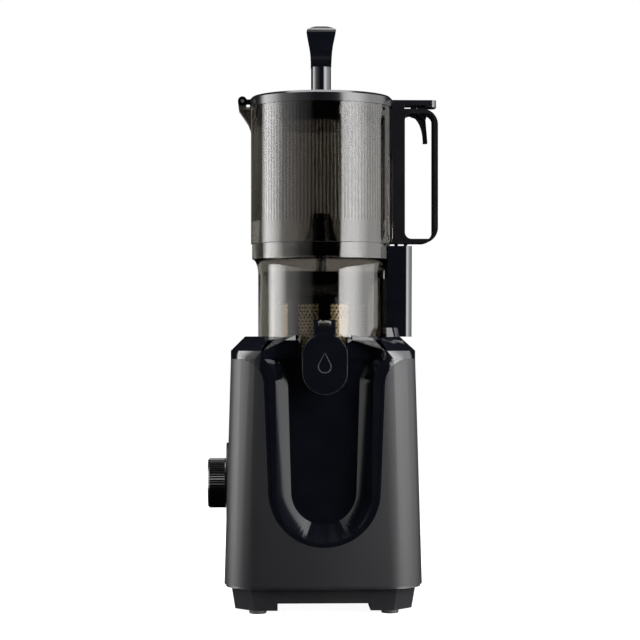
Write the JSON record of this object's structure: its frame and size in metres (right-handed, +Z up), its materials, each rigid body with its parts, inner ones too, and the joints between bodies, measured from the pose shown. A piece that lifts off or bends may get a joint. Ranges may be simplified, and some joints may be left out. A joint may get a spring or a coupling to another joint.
{
  "type": "slow juicer",
  "caption": "Tall vertical slow juicer: tapered black motor base with side dial, smoked bowl with gold strainer, capped juice spout, ribbed hopper with handle, hinged lid and feed handle.",
  "frame": {"origin": "on the floor, under the axis of the bowl", "axes": "+Z up, front with the juice spout towards -Y, hopper handle towards +X"},
  "size_m": [0.2057, 0.1978, 0.5164],
  "materials": {
    "steel": "brushed",
    "gloss_black": "gloss",
    "matt_black": "satin",
    "smoked_clear": "clear, smoked",
    "gold_mesh": "satin",
    "foot_rubber": "matt",
    "seal_red": "matt",
    "silicone_grey": "matt",
    "grey_plastic": "moulded",
    "board_green": "board",
    "copper_varnish": "varnished windings",
    "cast_alloy": "cast"
  },
  "bodies": {
    "base": {"base_pan": "gloss_black", "rubber_feet": "foot_rubber", "outer_shell": "matt_black", "front_panel": "gloss_black", "top_deck": "gloss_black", "safety_tower": "gloss_black", "safety_switch": "grey_plastic", "dial_plate": "matt_black", "rotary_switch": "grey_plastic", "control_board": "board_green", "cord_gland": "foot_rubber", "pan_screws": "steel", "motor_case": "steel", "stator": "copper_varnish", "motor_screws": "steel", "gearbox_case": "cast_alloy", "gearbox_lid": "cast_alloy", "gearbox_screws": "steel", "shaft_bearings": "steel", "shaft_seal": "seal_red"},
    "dial": {"dial": "gloss_black"},
    "rotor": {"motor_rotor": "steel", "motor_fan": "grey_plastic"},
    "layshaft": {"layshaft_gears": "steel"},
    "output": {"output_gear": "steel"},
    "bowl": {"bowl": "smoked_clear", "bowl_seal": "seal_red", "cap_pin": "steel", "pulp_flap": "silicone_grey", "strainer_frame": "gloss_black", "strainer_screens": "gold_mesh"},
    "juice_cap": {"juice_cap": "gloss_black", "cap_gasket": "silicone_grey"},
    "auger": {"auger": "matt_black"},
    "hopper": {"hopper": "smoked_clear", "hopper_seal": "foot_rubber", "hopper_handle": "gloss_black", "trigger_pin": "steel", "trigger_spring": "steel", "lid_pin": "steel", "lid_gasket": "foot_rubber"},
    "blade": {"rotary_blade": "gloss_black"},
    "trigger": {"trigger": "gloss_black"},
    "lid": {"lid": "gloss_black"},
    "feed": {"feed_handle": "gloss_black", "feed_plate": "matt_black"}
  },
  "joints": [
    {"name": "dial_turn", "type": "hinge", "parent": "base", "child": "dial", "pos_m": [-0.087, -0.004, 0.107], "axis": [-1, 0, 0], "range_deg": [-45, 45]},
    {"name": "rotor_spin", "type": "hinge", "parent": "base", "child": "rotor", "pos_m": [0, 0, 0.08], "axis": [0, 0, 1], "continuous": true},
    {"name": "layshaft_spin", "type": "hinge", "parent": "base", "child": "layshaft", "pos_m": [0, 0.0375, 0.13], "axis": [0, 0, 1], "continuous": true},
    {"name": "output_spin", "type": "hinge", "parent": "base", "child": "output", "pos_m": [0, 0, 0.16], "axis": [0, 0, 1], "continuous": true},
    {"name": "bowl_lift", "type": "slide", "parent": "base", "child": "bowl", "axis": [0, 0, 1], "range_m": [0, 0.06]},
    {"name": "auger_spin", "type": "hinge", "parent": "bowl", "child": "auger", "pos_m": [0, 0, 0.24], "axis": [0, 0, 1], "continuous": true},
    {"name": "cap_open", "type": "hinge", "parent": "bowl", "child": "juice_cap", "pos_m": [0, -0.0855, 0.2495], "axis": [-1, 0, 0], "range_deg": [0, 100]},
    {"name": "hopper_lift", "type": "slide", "parent": "bowl", "child": "hopper", "axis": [0, 0, 1], "range_m": [0, 0.06]},
    {"name": "blade_spin", "type": "hinge", "parent": "hopper", "child": "blade", "pos_m": [0, 0, 0.32], "axis": [0, 0, 1], "continuous": true},
    {"name": "trigger_squeeze", "type": "hinge", "parent": "hopper", "child": "trigger", "pos_m": [0.08253, 0, 0.4399], "axis": [0, -1, 0], "range_deg": [0, 8], "stiffness_Nm_per_rad": 0.05},
    {"name": "lid_open", "type": "hinge", "parent": "hopper", "child": "lid", "pos_m": [-0.0707, 0, 0.449], "axis": [0, -1, 0], "range_deg": [0, 110]},
    {"name": "feed_press", "type": "slide", "parent": "lid", "child": "feed", "axis": [0, 0, -1], "range_m": [0, 0.024]}
  ],
  "couplings": [
    {"joint": "layshaft_spin", "follows": "rotor_spin", "ratio": -0.25},
    {"joint": "output_spin", "follows": "rotor_spin", "ratio": 0.076087},
    {"joint": "auger_spin", "follows": "rotor_spin", "ratio": 0.076087},
    {"joint": "blade_spin", "follows": "rotor_spin", "ratio": 0.076087}
  ]
}
